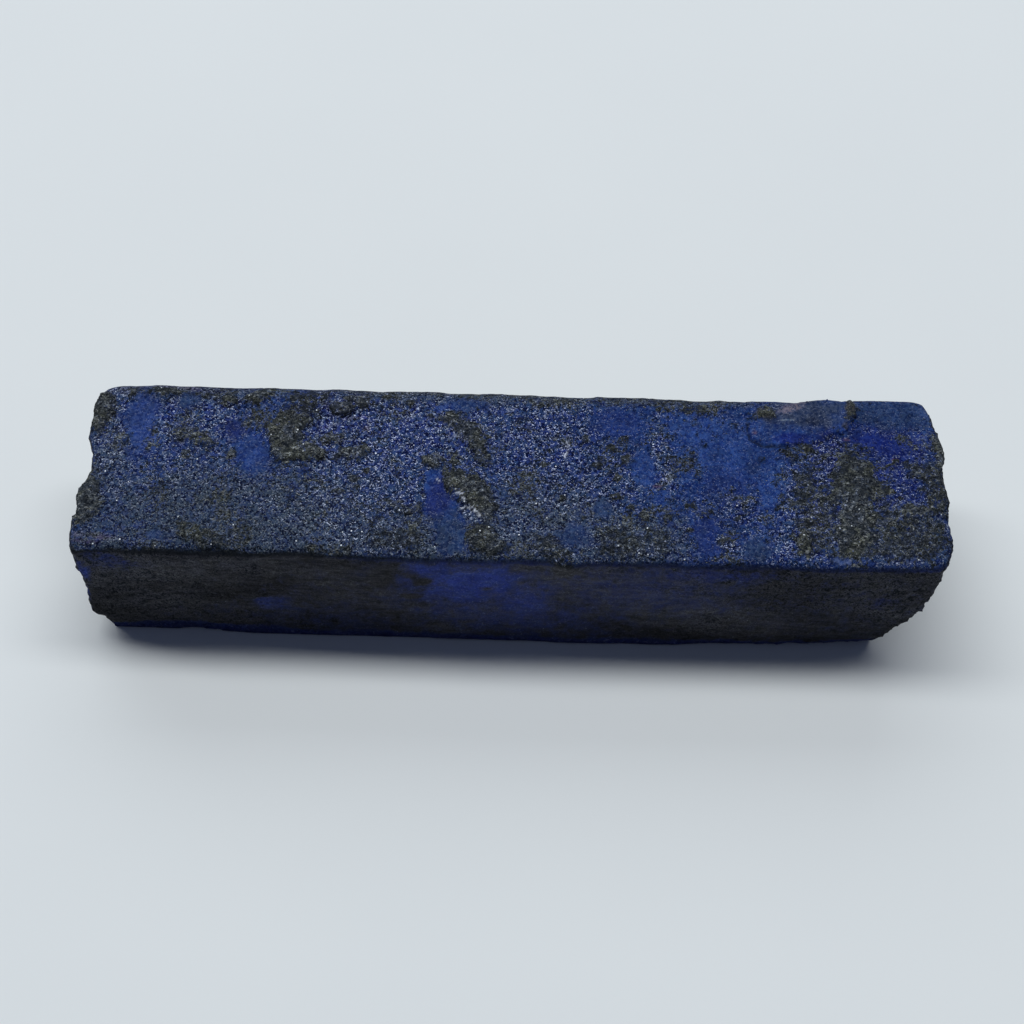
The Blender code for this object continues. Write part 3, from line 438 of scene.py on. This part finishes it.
class Cover:
    """What covers the skin at each of its points, from 0 to 1, and the colour and relief that it makes."""

    def __init__(self, points, normals):
        self.places = [Vector(place) for place in points]
        self.x, self.y, self.z = points.T.copy()
        self.up = normals[:, 2]
        self.top = smoothstep(0.35, 0.75, self.up) * smoothstep(*TOP_ARRIS, self.z)
        self.front = smoothstep(-0.5, -0.8, normals[:, 1]) * (1 - self.top)
        self.rest = 1 - self.top - self.front
        self.coarse = self.soft(COARSE_SIZE, 11)
        self.blotch = self.soft(BLOTCH_SIZE, 3)
        self.ragged = self.soft(RAGGED_SIZE, 7, 2)
        self.lumps = self.grains(LUMP_SIZE, 5)
        self.find_bare_places()
        self.lay_crust_on_top()
        self.lay_crust_on_sides()
        self.lay_frost_and_dust()

    def soft(self, size, shift, octaves=3, stretch=(1, 1, 1)):
        """Soft noise for features of a size in mm: each shift reads another part of it."""
        scale = Vector(stretch) / size
        offset = Vector((shift, 2 * shift, 3 * shift))
        return np.array([noise.fractal(place * scale + offset, 1.0, 2.0, octaves) for place in self.places])

    def grains(self, size, shift):
        """Grains side by side: 1 at a grain's middle, 0 where grains meet."""
        offset = Vector((shift, 2 * shift, 3 * shift))
        nearest = np.array([noise.voronoi(place / size + offset)[0][:2] for place in self.places])
        return np.clip((nearest[:, 1] - nearest[:, 0]) * 1.7, 0, 1)

    def find_bare_places(self):
        """The flake at the back right, the windows of bare crystal and the white marks on the top."""
        x, y = self.x, self.y
        self.stray = OUTLINE_STRAY * (self.blotch + 0.7 * self.ragged)
        self.flake_depth = outline_depth(x, y, FLAKE) + 0.12 * self.blotch
        self.flake = self.top * smoothstep(-0.10, 0.10, self.flake_depth)
        frayed = 0.5 * self.coarse + 0.35 * self.blotch
        self.windows = spots(x, y, [(*window, 1.0) for window in WINDOWS], frayed, 0.5)
        self.deep_window = smoothstep(-0.12, 0.12, outline_depth(x, y, DEEP_WINDOW) + 0.4 * self.stray)
        self.clean = np.maximum(np.maximum(self.windows, self.deep_window), self.flake * 0.9)
        self.white = self.top * spots(x, y, WHITE_MARKS, 0.5 * self.ragged, 0.5)

    def lay_crust_on_top(self):
        """Drawn patches with frayed edges, knobs, and a thin scatter of crust between them."""
        x, y = self.x, self.y
        crust = 0.30 + 0.35 * self.coarse
        rise = np.zeros(len(x))
        for strength, height, outline in CRUST_PATCHES.values():
            depth = outline_depth(x, y, outline) + OUTLINE_GROWTH
            inside = smoothstep(-OUTLINE_SOFTNESS, OUTLINE_SOFTNESS, depth + self.stray)
            crust = np.maximum(crust, (0.40 + 0.50 * strength) * inside)
            rise = np.maximum(rise, height * smoothstep(-0.15, 0.55, depth + 0.5 * self.stray))
        for centre_x, centre_y, half_x, half_y, height in KNOBS:
            edge = reach(x, y, centre_x, centre_y, half_x, half_y) + 0.5 * self.ragged
            knob = smoothstep(1.45, 0.35, edge)
            rise = np.maximum(rise, KNOB_LIFT * height * knob)
            crust = np.maximum(crust, 0.72 * smoothstep(0.0, 0.7, knob))
        back_edge = smoothstep(7.5, 8.5, y + 0.5 * self.blotch) * smoothstep(22, 20, x)
        crust = np.maximum(crust, 0.50 * back_edge * smoothstep(-20, -14, x))
        crust = crust * (1 - 0.95 * self.deep_window) * (1 - 0.5 * self.windows)
        crust *= 1 - 0.9 * self.flake * smoothstep(0.5, 0.9, self.flake_depth)
        crust *= 1 - 0.95 * self.white
        self.top_crust = crust
        self.rise = rise
        self.solid = self.top * smoothstep(0.40, 0.60, crust + 0.45 * self.blotch + 0.30 * self.ragged)

    def lay_crust_on_sides(self):
        """Crust that thins out over windows and along the edges of the front, and in patches elsewhere."""
        x, z = self.x, self.z
        self.thin = spots(x, z, FRONT_WINDOWS, 0.45 * self.coarse + 0.15 * self.blotch, 0.85)
        left_foot = smoothstep(-20, -24, x) * smoothstep(-37, -33, x)
        # The band along the front's lower edge: bare of crust, where the painted glow lies.
        self.low_band = smoothstep(LOWER_BAND, 0.5 * LOWER_BAND, z + 0.35 * self.coarse - 0.5 * left_foot)
        high_band = 0.8 * smoothstep(14.0, 14.5, z) * smoothstep(-19, -12, x)
        bare = np.maximum(np.maximum(self.thin, 0.9 * self.low_band), high_band)
        specks = spots(x, z, FRONT_SPOTS, 0.4 * self.blotch)
        self.front_crust = np.clip(1.0 - 0.9 * bare + specks + 0.20 * self.blotch, 0, 1)
        patches = self.soft(PATCH_SIZE, 23, 3, (0.45, 0.6, 1))
        self.rest_crust = np.clip(0.78 + 0.62 * patches + 0.30 * self.blotch, 0, 1)

    def lay_frost_and_dust(self):
        """Frost and dust on the top, which leave bare crystal clean, and a little dust elsewhere."""
        x, y, top = self.x, self.y, self.top
        frayed = 0.7 * self.coarse + 0.4 * self.blotch
        frost = top * (0.25 + spots(x, y, FROST, frayed, 0.7))
        self.frost = np.clip(frost, 0, 1) * (1 - 0.85 * self.clean * top)
        dust = top * (0.15 + 0.4 * self.coarse + spots(x, y, DUST, frayed, 0.7)) + 0.25 * (1 - top)
        self.dust = np.clip(dust, 0, 1) * (1 - 0.8 * self.clean * top)

    def crack(self):
        """The crack along the flake's front edge."""
        along = smoothstep(7.0, 5.8, self.y) * (0.15 + 0.85 * smoothstep(26.0, 23.0, self.x))
        broken = smoothstep(0.5, 0.1, self.blotch)
        return self.top * smoothstep(0.20, 0.0, np.abs(self.flake_depth + 0.16)) * along * broken

    def hollow_shade(self):
        """Painted shade in hollows: darker at the foot of raised patches, between lumps, in the crack and
        along the front arris.
        """
        undercut = smoothstep(0.02, 0.12, self.rise) * smoothstep(0.32, 0.14, self.rise)
        hollow_shade = 0.8 * self.top * undercut * smoothstep(0.2, -0.2, self.ragged)
        hollow_shade += self.solid * smoothstep(0.35, 0.0, self.lumps)
        hollow_shade += 1.2 * self.crack()
        arris = smoothstep(0.15, 0.35, self.up) * smoothstep(0.78, 0.55, self.up)
        arris = arris * (self.y < -6) * (self.z > 12)
        return np.clip(hollow_shade + arris * (0.6 + 0.4 * smoothstep(-6, -12, self.x)), 0, 1)

    def foot_shade(self):
        """How much painted shade darkens the front towards its foot."""
        return FOOT_SHADE * self.front * smoothstep(8.0, 1.0, self.z)

    def fields(self):
        """What the material reads at each point, by name."""
        crust = self.top * self.top_crust + self.front * self.front_crust + self.rest * self.rest_crust
        calm = self.front * spots(self.x, self.z, FRONT_CALM, 0.4 * self.coarse, 0.5)
        # Random tone, with painted shade towards the front's foot, and the front darker towards its right
        # end.
        shade = 1 + (0.45 + 0.20 * self.front) * self.soft(SHADE_SIZE, 31, 3, (0.4, 1, 1))
        shade *= 1 - self.foot_shade()
        shade *= 1 - 0.12 * self.front * smoothstep(18.0, 26.0, self.x)
        return {
            "crust": crust, "clean": self.clean * self.top + calm, "frost": self.frost, "dust": self.dust,
            "hollow_shade": self.hollow_shade(), "side": 1 - self.top, "shade": shade, "white": self.white,
        }

    def colour(self):
        """The crystal's colour, with a painted glow where the front's crust is thin and along its lower
        edge, and painted shade towards the front's foot.
        """
        colour = np.tile(BLUE, (len(self.x), 1))
        for tint, places in TOP_TINTS.values():
            colour = blend(colour, tint, self.top * spots(self.x, self.y, places, 0.25 * self.blotch, 0.4))
        navy = np.tile(FRONT_NAVY, (len(self.x), 1))
        # Painted glow of light passing through the stone where the front's crust is thin.
        front = blend(navy, FRONT_BLUE_AND_GLOW, smoothstep(0.35, 1.0, self.thin))
        # The lower edge's band of painted glow, darkened by painted shade near the floor.
        front = blend(front, FRONT_GLOW_BAND, self.low_band)
        rest = blend(navy, SIDE_BLUE, smoothstep(0.6, 0.2, self.rest_crust))
        colour = colour * self.top[:, None] + front * self.front[:, None] + rest * self.rest[:, None]
        colour = colour * (1 + 0.30 * self.coarse + 0.15 * self.blotch)[:, None]
        # Painted shade towards the front's foot.
        colour *= (1 - 0.8 * self.foot_shade())[:, None]
        return np.clip(colour, 0, 1)

    def relief(self):
        """How far the surface stands out, in mm: nothing where the stone rests."""
        top, blotch, lumps = self.top, self.blotch, self.lumps
        grit = self.grains(GRIT_SIZE, 9)
        fine = self.soft(FINE_SIZE, 13, 2)
        strands = self.soft(STRAND_SIZE, 17, 3, (0.12, 1, 1))
        crystal = top - self.solid
        relief = RISE_SHARE * top * self.rise
        relief += self.solid * (0.04 + LUMP_HEIGHT * lumps * (0.6 + blotch) + GRIT_HEIGHT * grit)
        relief += crystal * (1 - 0.8 * self.clean) * (0.07 * fine + 0.05 * grit * self.frost)
        relief -= PIT_DEPTH * crystal * (1 - self.clean) * smoothstep(0.30, 0.6, blotch)
        relief += WHITE_HEIGHT * self.white
        flake_rim = top * smoothstep(0.5, 0.0, np.abs(self.flake_depth))
        relief += FLAKE_RIM_HEIGHT * flake_rim * smoothstep(0.0, 0.15, self.flake_depth)
        relief -= CRACK_DEPTH * self.crack()
        relief *= 1 - 0.85 * smoothstep(7.4, 8.4, self.y) * (1 - self.flake)
        relief += self.front * (0.10 * blotch + 0.05 * (lumps - 0.4) + 0.05 * fine + 0.04 * strands)
        quiet = 1 - 0.7 * smoothstep(11.5, 13.5, self.z) * smoothstep(6.5, 8.0, self.y)
        relief += self.rest * quiet * (0.10 + 0.14 * blotch + 0.10 * (lumps - 0.3) + 0.07 * fine)
        return relief * smoothstep(0.05, 0.6, self.z)


def wear(points):
    """Moves the points where the stone is worn: front foot, back edge and left end, each a little."""
    x, y, z = points.T
    foot = smoothstep(FOOT_HEIGHT, 0.0, z) * smoothstep(-5.0, -7.0, y)
    back = smoothstep(7.0, 8.4, y) * smoothstep(9.0, 12.0, z)
    left = smoothstep(-35.0, -37.0, x) * smoothstep(6.0, 10.0, z)
    left_end = smoothstep(-31.0, -35.0, x)
    ledge = left_end * smoothstep(LEDGE_HEIGHT + 0.3, LEDGE_HEIGHT - 0.3, z)
    brow = left_end * smoothstep(LEDGE_HEIGHT - 0.2, LEDGE_HEIGHT + 0.6, z) * smoothstep(9.5, 5.0, z)
    points[:, 1] += foot * np.interp(x, *zip(*FOOT_TUCKS)) + back * np.interp(x, *zip(*BACK_PUSHES))
    points[:, 0] += LEDGE_DEPTH * ledge - BROW_DEPTH * brow + left * np.interp(y, *zip(*LEFT_PUSHES))


def dress(skin):
    """Raises the skin's relief, and keeps what covers it as attributes for its material."""
    mesh = skin.data
    points, normals = read_points(mesh)
    wear(points)
    cover = Cover(points, normals)
    points += normals * cover.relief()[:, None]
    mesh.vertices.foreach_set("co", (points * MM).ravel())
    for name, values in cover.fields().items():
        mesh.attributes.new(name, "FLOAT", "POINT").data.foreach_set("value", values)
    tint = mesh.attributes.new("tint", "FLOAT_COLOR", "POINT")
    tint.data.foreach_set("color", np.column_stack([cover.colour(), np.ones(len(points))]).ravel())
    mesh.update()
    mesh.shade_smooth()


class Graph:
    """Adds nodes to a material and wires them."""

    def __init__(self, name):
        self.material = bpy.data.materials.new(name)
        self.material.use_nodes = True
        self.tree = self.material.node_tree
        self.shader = self.tree.nodes["Principled BSDF"]

    def feed(self, socket, value):
        """Wires another node's output to a socket, or sets the socket's own value."""
        if isinstance(value, bpy.types.NodeSocket):
            self.tree.links.new(value, socket)
        elif socket.type == "RGBA":
            socket.default_value = (*value, 1)
        else:
            socket.default_value = value

    def node(self, kind, output=0, settings=None, **inputs):
        """Adds a node with its settings and inputs, and gives one of its outputs."""
        node = self.tree.nodes.new(kind)
        for key, value in (settings or {}).items():
            setattr(node, key, value)
        for key, value in inputs.items():
            self.feed(node.inputs[key.replace("_", " ").title()], value)
        return node.outputs[output]

    def math(self, operation, first, second=0.0):
        node = self.tree.nodes.new("ShaderNodeMath")
        node.operation = operation
        self.feed(node.inputs[0], first)
        self.feed(node.inputs[1], second)
        return node.outputs[0]

    def add(self, first, second):
        return self.math("ADD", first, second)

    def times(self, first, second):
        return self.math("MULTIPLY", first, second)

    def step(self, value, low, high, start=0.0, end=1.0):
        """Goes smoothly from start to end as the value goes from low to high."""
        node = self.tree.nodes.new("ShaderNodeMapRange")
        node.interpolation_type = "SMOOTHSTEP"
        for index, number in enumerate((value, low, high, start, end)):
            self.feed(node.inputs[index], number)
        return node.outputs[0]

    def mix(self, share, first, second, blend_type="MIX"):
        node = self.tree.nodes.new("ShaderNodeMix")
        node.data_type = "RGBA"
        node.blend_type = blend_type
        self.feed(node.inputs[0], share)
        self.feed(node.inputs[6], first)
        self.feed(node.inputs[7], second)
        return node.outputs[2]

    def noise(self, place, size, detail=2.0, roughness=0.5, distortion=0.0):
        """Noise from 0 to 1 for features of about that size in mm."""
        return self.node("ShaderNodeTexNoise", vector=place, scale=1 / size, detail=detail,
                         roughness=roughness, distortion=distortion)

    def attribute(self, name, output="Fac"):
        node = self.tree.nodes.new("ShaderNodeAttribute")
        node.attribute_name = name
        return node.outputs[output]


# Sizes, in mm, of the material's noise, how far apart the two heights lie that say whether a grain
# faces the light, and how high the bump is
SPECK_SPACING = 0.135
CURL_SPACING = 0.25
GAP_SPACING = 0.33
PIT_SPACING = 0.37
BLOT_SPACING = 0.38
STREAK_SPACING = 0.42
GLINT_SPACING = 0.8
HUE_SPACING = 0.85
CLOUD_SPACING = 1.9
LIT_SHIFT = 0.09
BUMP_HEIGHT = 0.14

# Linear colours: those that tint the crystal, the painted shade of its pits, those that lie on it, among
# them a painted highlight and painted glints, and its crust's, with the painted shade of holes and hollows
CLEAN_PIT_SHADE = (0.30, 0.46, 0.70)
DEEP_PIT_SHADE = (0.07, 0.12, 0.24)
VIOLET_SHIFT = (0.94, 0.76, 1.08)
SLATE_SHIFT = (1.22, 1.16, 0.84)
FROSTED_BLUE = (0.028, 0.046, 0.136)
FROST_AND_HIGHLIGHT_COLOUR = (0.67, 0.76, 1.0)
DUST_COLOUR = (0.033, 0.050, 0.079)
DUST_GRAIN = (0.15, 0.18, 0.20)
WHITE_COLOUR = (0.78, 0.84, 0.92)
GLINT_COLOUR = (0.85, 0.92, 1.0)
HOLE_AND_HOLLOW_SHADE = (0.006, 0.009, 0.014)
CRUST_COLOUR = (0.059, 0.072, 0.084)
CRUST_OLIVE = (0.068, 0.075, 0.056)
CRUST_LIGHT = (0.38, 0.41, 0.43)
CRUST_TAN = (0.24, 0.24, 0.20)
BLUER = (0.96, 1.02, 1.50)
CHARCOAL = (0.043, 0.042, 0.052)


class StoneGraph(Graph):
    """The stone's material, with what covers the stone and the noise that its layers share."""

    def __init__(self):
        super().__init__("rough_sapphire")
        metres = self.node("ShaderNodeTexCoord", output="Object")
        self.place = self.vector("SCALE", metres)
        self.place.node.inputs["Scale"].default_value = 1 / MM
        self.clean = self.attribute("clean")
        self.frost = self.attribute("frost")
        self.dust = self.attribute("dust")
        self.side = self.attribute("side")
        self.speck = self.noise(self.place, SPECK_SPACING, 2.0, 0.55)
        self.gaps = self.noise(self.place, GAP_SPACING, 1.0, 0.5)
        self.net = self.noise(self.place, PIT_SPACING, 3.0, 0.65, 0.5)
        self.blot = self.noise(self.place, BLOT_SPACING, 3.0, 0.65)
        self.cloud = self.noise(self.place, CLOUD_SPACING, 3.0, 0.55)
        self.powder = self.math("MAXIMUM", self.frost, self.dust)
        self.busy = self.step(self.powder, 0.0, 0.7)
        self.calm = self.times(self.side, self.clean)
        self.rough = self.step(self.calm, 0.0, 1.0, 1.0, 0.35)

    def vector(self, operation, first, second=(0.0, 0.0, 0.0)):
        """Scales, stretches or shifts a place."""
        result = self.node("ShaderNodeVectorMath", settings={"operation": operation}, vector=first)
        result.node.inputs[1].default_value = second
        return result

    def by_face(self, on_top, elsewhere):
        """One value on the top and another on the other faces."""
        return self.step(self.side, 0.0, 1.0, on_top, elsewhere)

    def lit(self, heights, *looks):
        """Above 0 where grains of a noise face the light that comes from behind the stone."""
        behind = self.noise(self.vector("ADD", self.place, (0.0, LIT_SHIFT, 0.0)), *looks)
        return self.add(heights, self.times(behind, -1.0))


def crystal_layer(g):
    """Mottled blue crystal, dulled by a veil of dust."""
    mottle = g.times(g.step(g.cloud, 0.3, 0.7, 0.80, 1.20), g.step(g.blot, 0.3, 0.7, 0.80, 1.20))
    colour = g.mix(1.0, g.attribute("tint", "Color"), mottle, "MULTIPLY")
    hue = g.noise(g.place, HUE_SPACING, 3.0, 0.6)
    varied = g.mix(g.step(hue, 0.40, 0.60), VIOLET_SHIFT, SLATE_SHIFT)
    colour = g.mix(g.busy, colour, g.mix(1.0, colour, varied, "MULTIPLY"))
    colour = g.mix(g.times(g.busy, 0.32), colour, FROSTED_BLUE)
    veil = g.times(g.dust, g.step(g.cloud, 0.35, 0.6, 0.45, 0.95))
    return g.mix(veil, colour, DUST_COLOUR)


def frost_layer(g, colour):
    """Painted shade in the pits of a net of grains, pale frost brightest on the grains' lit sides as a
    painted highlight, painted glints in points, and grains of dust.
    """
    curl_looks = CURL_SPACING, 1.0, 0.45, 0.6
    curl = g.noise(g.place, *curl_looks)
    # Painted shade in the pits: darker where the net and the curl are low.
    low = g.times(g.math("MAXIMUM", g.step(g.net, 0.47, 0.42), g.step(curl, 0.46, 0.38)), g.rough)
    colour = g.mix(low, colour, g.mix(1.0, colour, g.mix(g.busy, CLEAN_PIT_SHADE, DEEP_PIT_SHADE), "MULTIPLY"))
    # Frost rims with a painted highlight: bright only on the side of each grain that faces the light.
    rim = g.step(g.math("ABSOLUTE", g.add(curl, -0.5)), 0.065, 0.015)
    rim = g.times(rim, g.step(g.gaps, 0.47, 0.60))
    rim = g.times(rim, g.step(g.lit(curl, *curl_looks), -0.04, 0.12, 0.15, 1.0))
    rim = g.times(rim, g.step(g.frost, 0.0, 0.9, 0.13, 1.0))
    rim = g.times(rim, g.step(g.cloud, 0.36, 0.58, 0.70, 1.0))
    # Painted glints: bright points on the frost.
    point = g.times(g.step(g.speck, 0.64, 0.71), g.step(g.frost, 0.0, 0.8, 0.18, 1.0))
    point = g.times(point, g.by_face(1.0, 0.2))
    colour = g.mix(g.math("MAXIMUM", rim, point), colour, FROST_AND_HIGHLIGHT_COLOUR)
    grains = g.times(g.step(g.speck, 0.56, 0.67), g.step(g.dust, 0.1, 0.9, 0.0, 0.75))
    return g.mix(grains, colour, DUST_GRAIN)


def crust_share(g):
    """Where crust hides the crystal: in ragged patches on the top, and softly on the other faces."""
    ragged = g.add(g.times(g.add(g.blot, -0.5), -1.5), g.times(g.add(g.speck, -0.5), -1.0))
    ragged = g.times(ragged, g.add(g.by_face(1.0, 0.65), g.times(g.calm, -0.35)))
    low = g.add(g.by_face(0.46, 0.20), g.times(g.calm, -0.10))
    high = g.add(g.by_face(0.58, 0.84), g.times(g.calm, 0.06))
    return g.step(g.add(g.attribute("crust"), ragged), low, high)


def crust_layer(g, colour, share):
    """Grey and olive crust on the top, streaked charcoal elsewhere, with painted shade in its holes, and
    pale grains, some of them painted highlights on the lit sides of lumps.
    """
    grey = g.mix(g.step(g.cloud, 0.42, 0.58), CRUST_COLOUR, CRUST_OLIVE)
    grey = g.mix(g.times(g.frost, 0.55), grey, g.mix(1.0, grey, BLUER, "MULTIPLY"))
    drawn_out = g.vector("MULTIPLY", g.place, (0.22, 1.0, 1.0))
    streaks = g.step(g.noise(drawn_out, STREAK_SPACING, 3.0, 0.6), 0.34, 0.66, 0.60, 1.45)
    grey = g.mix(g.times(g.side, 0.85), grey, g.mix(1.0, CHARCOAL, streaks, "MULTIPLY"))
    # Painted shade in the crust's holes.
    holes = g.math("MAXIMUM", g.step(g.speck, 0.46, 0.39), g.step(g.blot, 0.46, 0.40))
    grey = g.mix(g.times(holes, g.rough), grey, HOLE_AND_HOLLOW_SHADE)
    # Pale grains, with painted highlights where lumps face the light.
    lit = g.step(g.lit(g.net, PIT_SPACING, 3.0, 0.65, 0.5), 0.05, 0.13)
    grain = g.math("MAXIMUM", g.step(g.speck, 0.61, 0.69), g.times(lit, 0.7))
    pale = g.mix(g.step(g.gaps, 0.45, 0.62), CRUST_LIGHT, CRUST_TAN)
    grey = g.mix(g.times(grain, g.by_face(0.82, 0.15)), grey, pale)
    # The crust's colour times the random tone and the painted shade.
    return g.mix(share, colour, g.mix(1.0, grey, g.attribute("shade"), "MULTIPLY"))


def glint_layer(g, colour):
    """Painted glints: a few grains painted bright as though they caught the light."""
    dots = g.tree.nodes.new("ShaderNodeTexVoronoi")
    g.feed(dots.inputs["Vector"], g.place)
    dots.inputs["Scale"].default_value = 1 / GLINT_SPACING
    chosen = g.node("ShaderNodeSeparateColor", color=dots.outputs["Color"])
    glint = g.times(g.step(dots.outputs["Distance"], 0.11, 0.05), g.step(chosen, 0.60, 0.75))
    glint = g.times(glint, g.step(g.math("MAXIMUM", g.powder, 0.1), 0.0, 0.8))
    return g.mix(g.times(glint, g.by_face(1.0, 0.4)), colour, GLINT_COLOUR)


def sapphire_material():
    """Frosted blue crystal under frost, dust and crust, with painted shade in hollows, white marks and
    painted glints.
    """
    g = StoneGraph()
    crusted = crust_share(g)
    colour = crust_layer(g, frost_layer(g, crystal_layer(g)), crusted)
    # Painted shade in the hollows.
    colour = g.mix(g.times(g.attribute("hollow_shade"), 0.80), colour, HOLE_AND_HOLLOW_SHADE)
    broken = g.step(g.net, 0.40, 0.56, 0.10, 1.0)
    colour = g.mix(g.times(g.attribute("white"), broken), colour, WHITE_COLOUR)
    g.feed(g.shader.inputs["Base Color"], glint_layer(g, colour))

    bare_roughness = g.step(g.clean, 0.0, 1.0, 0.80, 0.65)
    g.feed(g.shader.inputs["Roughness"], g.math("MAXIMUM", bare_roughness, g.times(crusted, 0.85)))
    g.shader.inputs["Specular IOR Level"].default_value = 0.05

    height = g.add(g.add(g.times(g.speck, 0.5), g.times(g.blot, 0.5)), g.times(g.net, 0.8))
    crust_bump = g.times(crusted, g.by_face(0.9, 0.1))
    strength = g.math("MAXIMUM", g.step(g.clean, 0.0, 1.0, 0.6, 0.15), crust_bump)
    bump = g.node("ShaderNodeBump", strength=strength, distance=BUMP_HEIGHT * MM, height=height)
    g.feed(g.shader.inputs["Normal"], bump)
    return g.material


def add_stone():
    skin = even_skin()
    spend_faces_on_top(skin.data)
    dress(skin)
    skin.data.materials.clear()
    skin.data.materials.append(sapphire_material())
    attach(skin, "root")
    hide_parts("rough_sapphire")


def add_floor():
    bpy.ops.mesh.primitive_plane_add(size=FLOOR_SIZE)
    floor = bpy.context.object
    floor.name = "floor"
    g = Graph("floor")
    metres = g.node("ShaderNodeTexCoord", output="Object")
    cloudy = g.node("ShaderNodeTexNoise", vector=metres, scale=30.0, detail=3.0)
    g.feed(g.shader.inputs["Base Color"], g.mix(cloudy, *FLOOR_COLOURS))
    g.shader.inputs["Roughness"].default_value = 0.9
    g.shader.inputs["Specular IOR Level"].default_value = 0.1
    floor.data.materials.append(g.material)


def add_light(name, place, size, power, colour, turn=0.0):
    """A soft box at a place in metres, facing the stone, its long side turned this far from X."""
    light = bpy.data.lights.new(name, "AREA")
    light.shape = "RECTANGLE"
    light.size, light.size_y = size
    light.energy = power
    light.color = colour
    box = bpy.data.objects.new(name, light)
    bpy.context.scene.collection.objects.link(box)
    away = Vector(place).normalized()
    along = Vector((math.cos(math.radians(turn)), math.sin(math.radians(turn)), 0))
    along = (along - along.dot(away) * away).normalized()
    box.location = place
    box.rotation_euler = Matrix((along, away.cross(along), away)).transposed().to_euler()


def add_camera():
    data = bpy.data.cameras.new("camera")
    data.lens = CAMERA_LENS
    data.sensor_width = SENSOR_WIDTH
    data.clip_start = CAMERA_NEAREST
    camera = bpy.data.objects.new("camera", data)
    bpy.context.scene.collection.objects.link(camera)
    camera.location = Vector(CAMERA_PLACE) * MM
    camera.rotation_euler = (math.radians(90 - CAMERA_ELEVATION), 0, math.radians(CAMERA_TURN))
    bpy.context.scene.camera = camera


def add_world():
    """Dim bluish light from all round, and a pale backdrop past the floor that lights nothing."""
    world = bpy.data.worlds.new("studio")
    world.use_nodes = True
    tree = world.node_tree
    dim = tree.nodes["Background"]
    dim.inputs["Color"].default_value = (*AIR_COLOUR, 1)
    dim.inputs["Strength"].default_value = AIR_STRENGTH
    backdrop = tree.nodes.new("ShaderNodeBackground")
    backdrop.inputs["Color"].default_value = (*BACKDROP_COLOUR, 1)
    path = tree.nodes.new("ShaderNodeLightPath")
    choice = tree.nodes.new("ShaderNodeMixShader")
    tree.links.new(path.outputs["Is Camera Ray"], choice.inputs[0])
    tree.links.new(dim.outputs[0], choice.inputs[1])
    tree.links.new(backdrop.outputs[0], choice.inputs[2])
    tree.links.new(choice.outputs[0], tree.nodes["World Output"].inputs["Surface"])
    bpy.context.scene.world = world
    bpy.context.scene.view_settings.view_transform = "Standard"


add_stone()
add_floor()
add_light("soft_box", (-0.10, 0.312, 1.48), (2.4, 0.31), 20.8, (1.0, 1.0, 0.99), turn=-4.0)
add_light("rear_box", (-0.25, 1.20, 1.08), (1.80, 0.90), 9.2, (0.97, 1.0, 1.0))
add_world()
add_camera()
